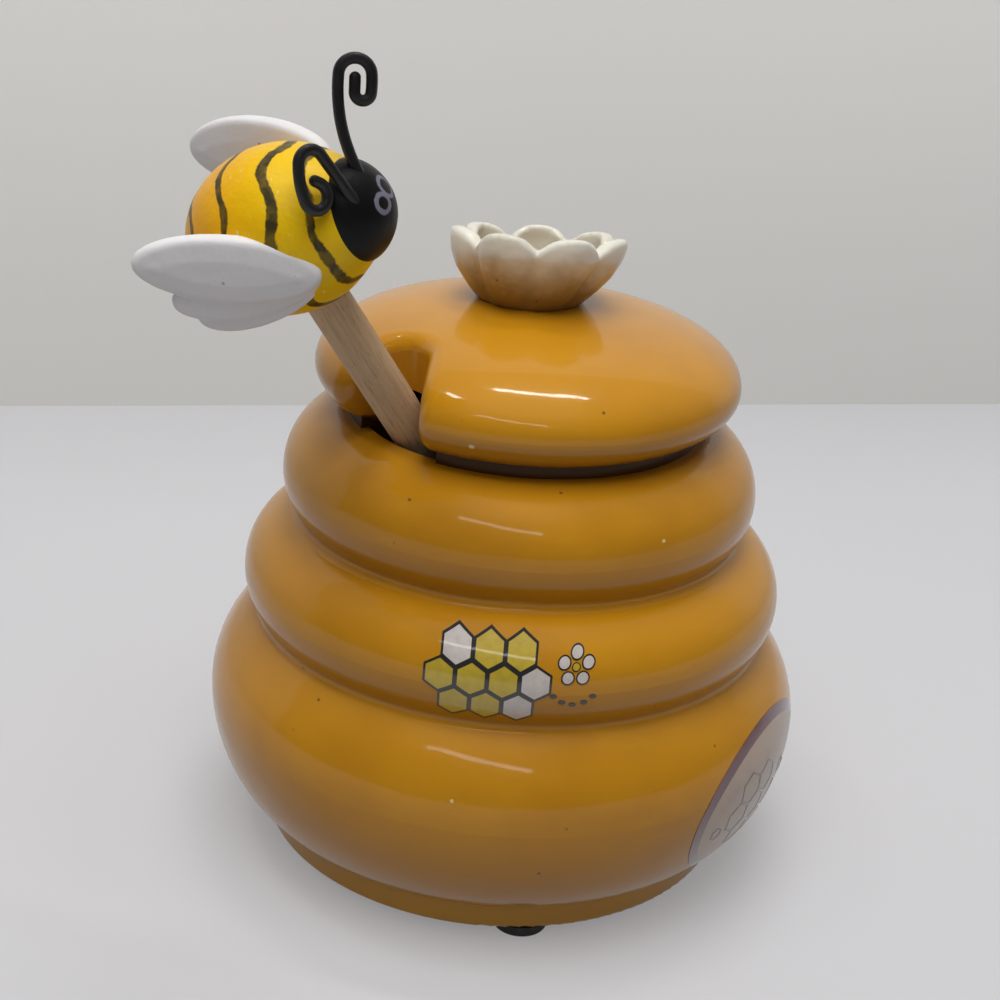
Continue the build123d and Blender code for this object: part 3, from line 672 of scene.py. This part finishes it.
def make_lobe(length, width, thickness, fan, lift):
    """One flat lobe lying along X from the root: crowned on both faces, with a round edge."""
    bpy.ops.object.select_all(action="DESELECT")
    bpy.ops.mesh.primitive_circle_add(vertices=64, radius=0.5, fill_type="NGON")
    lobe = bpy.context.object
    edit_all()
    bpy.ops.transform.resize(value=(length, width, 1))
    bpy.ops.transform.translate(value=(length / 2, 0, -thickness / 2))
    bpy.ops.mesh.extrude_region_move(TRANSFORM_OT_translate={"value": (0, 0, thickness)})
    bpy.ops.mesh.select_all(action="SELECT")
    bpy.ops.mesh.normals_make_consistent(inside=False)
    bpy.ops.mesh.select_all(action="DESELECT")
    bpy.ops.mesh.edges_select_sharp(sharpness=radians(60))
    bpy.ops.mesh.bevel(
        offset=LOBE_EDGE_SHARE * thickness, segments=5, profile=0.5, affect="EDGES")
    bpy.ops.object.mode_set(mode="OBJECT")
    for way in (1, -1):
        faces = lobe.data.polygons
        caps = [face.index for face in faces if face.normal.z * way > 0.999 and len(face.vertices) > 8]
        bpy.ops.object.mode_set(mode="EDIT")
        bpy.ops.mesh.select_all(action="DESELECT")
        bpy.ops.object.mode_set(mode="OBJECT")
        for index in caps:
            lobe.data.polygons[index].select = True
        bpy.ops.object.mode_set(mode="EDIT")
        bpy.ops.mesh.select_mode(type="FACE")
        bpy.ops.mesh.inset(thickness=CROWN_MARGIN * width)
        bpy.ops.transform.translate(value=(0, 0, way * CROWN_SHARE * thickness))
        bpy.ops.mesh.poke()
        bpy.ops.object.mode_set(mode="OBJECT")
    lobe.matrix_world = Matrix.Rotation(radians(fan), 4, "Z") @ Matrix.Translation((0, 0, lift))
    bpy.ops.object.transform_apply(location=True, rotation=True, scale=True)
    return lobe


def join(pieces, name):
    """Join pieces into the first one and rename it."""
    bpy.ops.object.select_all(action="DESELECT")
    for piece in pieces:
        piece.select_set(True)
    bpy.context.view_layer.objects.active = pieces[0]
    bpy.ops.object.join()
    pieces[0].name = name
    return pieces[0]


def make_wing(name, settings, material):
    """Three lobes fanned out from the root, each a little behind the one before."""
    side, root, angles, lobes = WINGS[name]
    parts = []
    for order, (length, width, thickness, fan) in enumerate(lobes):
        lift = -side * order * LOBE_SETBACK * MM
        parts.append(make_lobe(length * MM, width * MM, thickness * MM, fan, lift))
    wing = join(parts, f"soft_wing_{name}")
    merge_softly(wing, settings.grain, 4)
    wing.matrix_world = wing_frame(side, root, angles)
    bpy.ops.object.transform_apply(location=True, rotation=True, scale=True)
    wing.data.materials.append(material)
    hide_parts(f"bee_wing_{name}")
    return wing


# Inks of the print, by their place in the print's slots.
INK, YELLOW, WHITE = 0, 1, 2

# The printed honeycomb: cells by column and row, and their colours. Then, in millimetres across
# and up, the places of its first cell, the blossom and the dots, and the sizes of the last two.
CELLS = (
    (0, 0, YELLOW), (1, 0, YELLOW), (2, 0, YELLOW), (3, 0, WHITE),
    (0, 1, WHITE), (1, 1, YELLOW), (2, 1, YELLOW),
    (1, -1, YELLOW), (2, -1, WHITE), (0, -1, YELLOW),
)
COMB_START = (-8.0, 54.6)
BLOSSOM = (14.6, 57.4)
BLOSSOM_PETALS = 5
PETAL_REACH = 2.1
PETAL_RADIUS = 1.15
PETAL_LINE = 0.24
HEART_RADIUS = 0.75
HEART_LINE = 0.18
DOT_RADIUS = 0.42
DOT_STRETCH = 1.5
DOTS = ((11.2, 52.6), (12.7, 51.4), (14.5, 50.9), (16.4, 51.3), (17.8, 52.4))

# The print starts as a flat sheet in front of the pot, at this Y in millimetres.
PRINT_PLANE = -70


def flat_motif(inks, corners, radius, place, line, fill, cuts=2, stretch=1.0):
    """One flat motif: an inked outline round a filled middle, given as its place in inks."""
    bpy.ops.object.select_all(action="DESELECT")
    bpy.ops.mesh.primitive_circle_add(
        vertices=corners, radius=radius, fill_type="TRIFAN", location=(*place, 0))
    piece = bpy.context.object
    for ink in inks:
        piece.data.materials.append(ink)
    piece.scale = (stretch, 1, 1)
    bpy.ops.object.transform_apply(location=True, rotation=True, scale=True)
    edit_all()
    if line:
        bpy.ops.mesh.inset(thickness=line)
    bpy.ops.object.mode_set(mode="OBJECT")
    for face in piece.data.polygons:
        face.material_index = fill if face.select or not line else INK
    edit_all()
    bpy.ops.mesh.subdivide(number_cuts=cuts)
    bpy.ops.object.mode_set(mode="OBJECT")
    return piece


def make_honeycomb(settings):
    """Honeycomb cells, a small blossom and a row of dots, printed on the middle coil."""
    parts = []
    inks = (
        print_material("print_ink", settings.ink),
        print_material("print_yellow", settings.yellow),
        print_material("print_white", settings.white),
    )
    across = sqrt(3) * settings.cell
    for column, row, fill in CELLS:
        x = COMB_START[0] * MM + (column + 0.5 * (row % 2)) * across
        z = COMB_START[1] * MM + row * 1.5 * settings.cell
        parts.append(flat_motif(inks, 6, settings.cell, (x, z), settings.line, fill))
    for index in range(BLOSSOM_PETALS):
        turn = radians(90 + 360 / BLOSSOM_PETALS * index)
        x = BLOSSOM[0] * MM + PETAL_REACH * MM * cos(turn)
        z = BLOSSOM[1] * MM + PETAL_REACH * MM * sin(turn)
        parts.append(flat_motif(inks, 16, PETAL_RADIUS * MM, (x, z), PETAL_LINE * MM, WHITE, 1))
    heart = [c * MM for c in BLOSSOM]
    parts.append(flat_motif(inks, 12, HEART_RADIUS * MM, heart, HEART_LINE * MM, YELLOW, 1))
    for dot in DOTS:
        place = [c * MM for c in dot]
        parts.append(flat_motif(inks, 10, DOT_RADIUS * MM, place, 0, INK, 1, DOT_STRETCH))
    comb = join(parts, "honeycomb_print")
    sheet = Matrix.Translation((0, PRINT_PLANE * MM, 0))
    comb.matrix_world = sheet @ Matrix.Rotation(radians(90), 4, "X")
    bpy.ops.object.transform_apply(location=True, rotation=True, scale=True)
    add_modifier(
        comb, "SHRINKWRAP", target=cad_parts["pot_body"], wrap_method="PROJECT",
        offset=0.6 * settings.film, use_project_x=False, use_project_y=True, use_project_z=False)
    finish_film(comb, settings.film)
    return comb


def finish_film(piece, film):
    """Give a flat print its thickness, away from the pot."""
    add_modifier(piece, "SOLIDIFY", thickness=film, offset=0.0)
    bpy.ops.object.shade_smooth_by_angle(angle=radians(40))


# The label's middle: its azimuth from the front in degrees, and how far it lies below the coil's
# widest point. Then the radius that it is wrapped round, the grid that it bends on, its thickness
# and the width of its lines. Lengths are in millimetres.
LABEL_AZIMUTH = 64.3
LABEL_DROP = 6.25
LABEL_MEAN_RADIUS = 54.5
LABEL_GRID = 1.4
LABEL_FILM = 0.05
LABEL_LINE = 0.3

# Open cells printed in the middle of the label: place and size in millimetres.
LABEL_CELLS = (
    (-5.0, 0.0, 3.4), (0.9, 0.0, 3.4), (-10.9, 0.0, 3.4), (-7.95, 5.1, 3.4), (-2.05, 5.1, 3.4),
    (-7.95, -5.1, 3.4), (-2.05, -5.1, 3.4), (-16.6, -1.2, 1.5), (6.6, 3.0, 1.9), (11.4, 0.0, 1.5),
)


def on_low_coil(around, up, height):
    """Point of the low coil at a distance around and up from the label's middle."""
    reach = up - LABEL_DROP * MM
    rise = LOW_COIL_RISE if reach > 0 else LOW_COIL_DROP
    left = abs(reach)
    angle, step = 0.0, radians(1)
    while left > 0:
        pace = hypot(LOW_COIL_WIDTH * sin(angle), rise * cos(angle)) * MM * step
        angle += step * min(1, left / pace)
        left -= pace
    angle = copysign(angle, reach)
    radius = (LOW_COIL_CENTRE + LOW_COIL_WIDTH * cos(angle)) * MM + height * cos(angle)
    z = (LOW_COIL_Z + rise * sin(angle)) * MM + height * sin(angle)
    azimuth = radians(LABEL_AZIMUTH) + around / (LABEL_MEAN_RADIUS * MM)
    return Vector((POT_AXIS_X * MM + radius * sin(azimuth), -radius * cos(azimuth), z))


def make_label(settings):
    """Oval paper label with a coloured border and open cells, wrapped on the low coil."""
    bpy.ops.object.select_all(action="DESELECT")
    bpy.ops.mesh.primitive_circle_add(vertices=128, radius=0.5, fill_type="NGON")
    oval = bpy.context.object
    oval.data.materials.append(print_material("label_border", settings.mauve))
    oval.data.materials.append(paper_material(settings))
    edit_all()
    bpy.ops.transform.resize(value=(settings.label_width, settings.label_height, 1))
    bpy.ops.mesh.inset(thickness=settings.border / 2)
    bpy.ops.mesh.inset(thickness=settings.border / 2)
    bpy.ops.object.mode_set(mode="OBJECT")
    for face in oval.data.polygons:
        face.material_index = 1 if face.select else 0
    bpy.ops.object.mode_set(mode="EDIT")
    for normal, span in (((1, 0, 0), settings.label_width), ((0, 1, 0), settings.label_height)):
        for cut in range(1, int(span / (LABEL_GRID * MM))):
            bpy.ops.mesh.select_all(action="SELECT")
            place = Vector(normal) * (cut * LABEL_GRID * MM - span / 2)
            bpy.ops.mesh.bisect(plane_co=place, plane_no=normal)
    bpy.ops.object.mode_set(mode="OBJECT")
    inks = (print_material("label_ink", settings.label_ink),)
    parts = [oval]
    for x, y, size in LABEL_CELLS:
        cell = flat_motif(inks, 6, size * MM, (x * MM, y * MM), 0, INK, 3)
        edit_all()
        bpy.ops.mesh.inset(thickness=LABEL_LINE * MM)
        bpy.ops.mesh.delete(type="FACE")
        bpy.ops.object.mode_set(mode="OBJECT")
        for vertex in cell.data.vertices:
            vertex.co.z = LABEL_FILM * MM
        parts.append(cell)
    label = join(parts, "oval_label")
    for vertex in label.data.vertices:
        vertex.co = on_low_coil(vertex.co.x, vertex.co.y, vertex.co.z + LABEL_FILM * MM)
    finish_film(label, LABEL_FILM * MM)
    return label


# ---------------------------------------------------------------- stage

# Two places on the line where the wall meets the table, in millimetres. Then, in metres, how far
# the wall and the table reach to each side, the wall's height and the table's depth.
WALL_FOOT = ((-154.6, 196.9), (162.9, 278.2))
WALL_REACH = 1.2
FLOOR_REACH = 3.0
WALL_HEIGHT = 0.45
FLOOR_DEPTH = 2.5

# How much darker the wall is at its foot, and the height in metres where that ends.
WALL_FOOT_SHADE = 0.16
WALL_FOOT_REACH = 0.16

# The broad lamps, which don't show in the glaze: place, target and size in metres.
SOFT_LAMPS = {
    "overhead": ((-0.04, -0.39, 1.3), (0, 0, 0), (1.0, 0.8)),
    "front": ((0.1, -1.1, 1.15), (0, 0, 0.05), (1.2, 0.8)),
}

# The narrow lamps, which do: place, target, length and width in metres, turn in degrees, and
# share of the power.
TUBES = (
    ("lamp_tube_main", (0.08, 0.30, 1.35), (0.08, 0.30, 0), 0.55, 0.07, -12.0, 1.0),
    ("lamp_tube_left", (-0.50, -0.02, 1.3), (-0.4, 0, 0), 0.16, 0.06, 0.0, 0.8),
    ("lamp_tube_front", (-0.12, -0.95, 1.0), (0, 0, 0.05), 0.90, 0.09, -18.0, 0.2),
)

# The room's light: its colour, the direction that it is strongest from, and how nearly a view has
# to face that way, as a cosine, for the weakest and the strongest light.
ROOM_COLOUR = (0.97, 0.98, 1.0, 1.0)
ROOM_BRIGHT_SIDE = (0.0, 0.8, 0.6)
ROOM_FADE = (-0.2, 0.7)

# The camera's place in millimetres, and where it looks and leans.
CAMERA_PLACE = (POT_AXIS_X, -319.78, 200.53)
CAMERA_AHEAD = (-0.0093, 0.9218, -0.3875)
CAMERA_RIGHT = (0.9963, 0.0415, 0.0749)


def backdrop_material(name, value, lift, foot_shade):
    """Matt paper, darker near the table by a share. Seen or mirrored, it looks brighter by lift."""
    r = Recipe(name)
    tone = r.blend(
        r.spread(r.noise(3.0, 2.0), 0.3, 0.7), colour(value), colour([0.97 * c for c in value]))
    tone = r.blend(r.spread(r.split(r.place)[2], WALL_FOOT_REACH, MM, 0.0, foot_shade), tone, BLACK)
    way = r.add("ShaderNodeLightPath").outputs
    seen = r.maths("MAXIMUM", way["Is Camera Ray"], way["Is Glossy Ray"])
    seen = r.maths("MAXIMUM", seen, way["Is Transmission Ray"])
    return r.finish(
        Base_Color=tone, Roughness=0.85, Specular_IOR_Level=0.2, Emission_Color=tone,
        Emission_Strength=r.maths("MULTIPLY", seen, lift))


def add_backdrop(name, place, material):
    """A unit plane put in its place and size."""
    bpy.ops.object.select_all(action="DESELECT")
    bpy.ops.mesh.primitive_plane_add(size=1)
    plane = bpy.context.object
    plane.name = name
    plane.matrix_world = place
    bpy.ops.object.transform_apply(location=True, rotation=True, scale=True)
    plane.data.materials.append(material)


def add_floor(stage):
    """Table and wall: two planes that meet in a line behind the pot."""
    left, right = (Vector((x, y, 0)) * MM for x, y in WALL_FOOT)
    along = (right - left).normalized()
    back = Vector((-along.y, along.x, 0))
    turn = Matrix((along, back, Vector((0, 0, 1)))).transposed().to_4x4()
    turn.translation = (left + right) / 2
    flat = (Matrix.Translation((0, -FLOOR_DEPTH / 2, 0))
            @ Matrix.Diagonal((2 * FLOOR_REACH, FLOOR_DEPTH, 1, 1)))
    upright = (Matrix.Translation((0, 0, WALL_HEIGHT / 2)) @ Matrix.Rotation(radians(90), 4, "X")
               @ Matrix.Diagonal((2 * WALL_REACH, WALL_HEIGHT, 1, 1)))
    table_paper = backdrop_material("stage_floor", stage.floor, stage.floor_lift, 0.0)
    wall_paper = backdrop_material("stage_wall", stage.wall, stage.wall_lift, WALL_FOOT_SHADE)
    add_backdrop("stage_floor", turn @ flat, table_paper)
    add_backdrop("stage_wall", turn @ upright, wall_paper)


def add_lamp(name, place, target, size, power, turn=0.0, mirrored=True):
    """Soft rectangular lamp. One that isn't mirrored lights a glaze without showing in it."""
    bpy.ops.object.select_all(action="DESELECT")
    bpy.ops.object.light_add(type="AREA", location=place)
    lamp = bpy.context.object
    lamp.name = name
    lamp.data.shape = "RECTANGLE"
    lamp.data.size, lamp.data.size_y = size
    lamp.data.energy = power
    lamp.visible_glossy = mirrored
    aim = (Vector(target) - Vector(place)).to_track_quat("-Z", "Y").to_matrix()
    lamp.rotation_euler = (aim @ Matrix.Rotation(radians(turn), 3, "Z")).to_euler()


def add_lamps(stage):
    """The room's light, which fades towards the front, and the lamps."""
    world = bpy.data.worlds.new("soft_room")
    bpy.context.scene.world = world
    world.use_nodes = True
    nodes, links = world.node_tree.nodes, world.node_tree.links
    background = nodes["Background"]
    background.inputs["Color"].default_value = ROOM_COLOUR
    way = nodes.new("ShaderNodeTexCoord").outputs["Generated"]
    lean = nodes.new("ShaderNodeVectorMath")
    lean.operation = "DOT_PRODUCT"
    lean.inputs[1].default_value = ROOM_BRIGHT_SIDE
    links.new(way, lean.inputs[0])
    fade = nodes.new("ShaderNodeMapRange")
    fade.interpolation_type = "SMOOTHSTEP"
    fade.inputs["From Min"].default_value = ROOM_FADE[0]
    fade.inputs["From Max"].default_value = ROOM_FADE[1]
    fade.inputs["To Min"].default_value = stage.ambient_front
    fade.inputs["To Max"].default_value = stage.ambient
    links.new(lean.outputs["Value"], fade.inputs["Value"])
    links.new(fade.outputs["Result"], background.inputs["Strength"])
    for name, power in (("overhead", stage.overhead), ("front", stage.front)):
        place, target, size = SOFT_LAMPS[name]
        add_lamp(f"lamp_{name}", place, target, size, power, mirrored=False)
    for name, place, target, length, width, turn, share in TUBES:
        add_lamp(name, place, target, (length, width), share * length * stage.tube, turn)


def add_camera(stage):
    """Camera above and in front, leaning a little to one side."""
    bpy.ops.object.camera_add()
    camera = bpy.context.object
    camera.name = "camera_front"
    ahead, right = Vector(CAMERA_AHEAD), Vector(CAMERA_RIGHT)
    right = (right - ahead * right.dot(ahead)).normalized()
    up = right.cross(ahead)
    pose = Matrix((right, up, -ahead)).transposed().to_4x4()
    pose.translation = millimetres(*CAMERA_PLACE)
    camera.matrix_world = pose
    camera.data.sensor_width = 36.0
    camera.data.sensor_fit = "HORIZONTAL"
    camera.data.lens = stage.lens
    camera.data.clip_start = 0.01
    bpy.context.scene.camera = camera
    bpy.context.scene.view_settings.view_transform = "Standard"


# ---------------------------------------------------------------- operators

class HONEYPOT_OT_pot(bpy.types.Operator):
    """Glaze the pot and give its feet their rubber"""
    bl_idname = "honeypot.pot"
    bl_label = "Pot and feet"

    def execute(self, context):
        glaze = context.scene.honeypot_glaze
        dress("pot_body", glaze_material(glaze, POT_CHIPS))
        rubber = rubber_material()
        for index in range(1, FOOT_COUNT + 1):
            dress(f"rubber_foot_{index}", rubber)
        return {"FINISHED"}


class HONEYPOT_OT_lid(bpy.types.Operator):
    """Glaze the lid and its flower knob"""
    bl_idname = "honeypot.lid"
    bl_label = "Lid and flower"

    def execute(self, context):
        glaze = context.scene.honeypot_glaze
        dress("lid", glaze_material(glaze, LID_CHIPS, "amber_glaze_lid", 1.0))
        flower = make_flower(glaze)
        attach(flower, "lid")
        return {"FINISHED"}


class HONEYPOT_OT_dipper(bpy.types.Operator):
    """Finish the dipper's wood and paint the bee on its end"""
    bl_idname = "honeypot.dipper"
    bl_label = "Dipper and bee"

    def execute(self, context):
        paint = context.scene.honeypot_dipper
        wood = wood_material(paint)
        dress("dipper_stick", wood)
        dress("dipper_head", wood)
        dress("bee_body", bee_material(paint))
        dress("bee_head", black_material(paint))
        white = white_material(paint)
        wire = wire_material(paint)
        for side in ("right", "left"):
            wing = make_wing(side, paint, white)
            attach(wing, "dipper")
            dress(f"bee_antenna_{side}", wire)
        return {"FINISHED"}


class HONEYPOT_OT_print(bpy.types.Operator):
    """Print the honeycomb on the middle coil and stick the oval label on the low one"""
    bl_idname = "honeypot.print"
    bl_label = "Honeycomb print and label"

    def execute(self, context):
        settings = context.scene.honeypot_print
        for piece in (make_honeycomb(settings), make_label(settings)):
            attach(piece, "pot")
        return {"FINISHED"}


class HONEYPOT_OT_stage(bpy.types.Operator):
    """Add the table, the wall, the lamps and the camera"""
    bl_idname = "honeypot.stage"
    bl_label = "Stage"

    def execute(self, context):
        stage = context.scene.honeypot_stage
        add_floor(stage)
        add_lamps(stage)
        add_camera(stage)
        return {"FINISHED"}


# ---------------------------------------------------------------- panel

class HONEYPOT_PT_panel(bpy.types.Panel):
    """Lists the pieces and their settings"""
    bl_idname = "HONEYPOT_PT_panel"
    bl_label = "Honey Pot"
    bl_space_type = "VIEW_3D"
    bl_region_type = "UI"
    bl_category = "Honey Pot"

    def draw(self, context):
        layout = self.layout
        for operator in OPERATORS:
            layout.operator(operator.bl_idname)
        for group in (context.scene.honeypot_glaze, context.scene.honeypot_dipper,
                      context.scene.honeypot_print, context.scene.honeypot_stage):
            box = layout.box()
            for key in group.bl_rna.properties.keys():
                if key not in {"rna_type", "name"}:
                    box.prop(group, key)


GROUPS = (HoneyPotGlaze, HoneyPotDipper, HoneyPotPrint, HoneyPotStage)
OPERATORS = (
    HONEYPOT_OT_pot, HONEYPOT_OT_lid, HONEYPOT_OT_dipper, HONEYPOT_OT_print, HONEYPOT_OT_stage)


def register():
    """Make the operators, the panel and the settings known."""
    for cls in (*GROUPS, *OPERATORS, HONEYPOT_PT_panel):
        bpy.utils.register_class(cls)
    bpy.types.Scene.honeypot_glaze = PointerProperty(type=HoneyPotGlaze)
    bpy.types.Scene.honeypot_dipper = PointerProperty(type=HoneyPotDipper)
    bpy.types.Scene.honeypot_print = PointerProperty(type=HoneyPotPrint)
    bpy.types.Scene.honeypot_stage = PointerProperty(type=HoneyPotStage)


def unregister():
    """Take them away again."""
    del bpy.types.Scene.honeypot_stage
    del bpy.types.Scene.honeypot_print
    del bpy.types.Scene.honeypot_dipper
    del bpy.types.Scene.honeypot_glaze
    for cls in reversed((*GROUPS, *OPERATORS, HONEYPOT_PT_panel)):
        bpy.utils.unregister_class(cls)


def main():
    """Build everything in order."""
    register()
    bpy.ops.honeypot.pot()
    bpy.ops.honeypot.lid()
    bpy.ops.honeypot.dipper()
    bpy.ops.honeypot.print()
    bpy.ops.honeypot.stage()


if __name__ == "__main__":
    main()
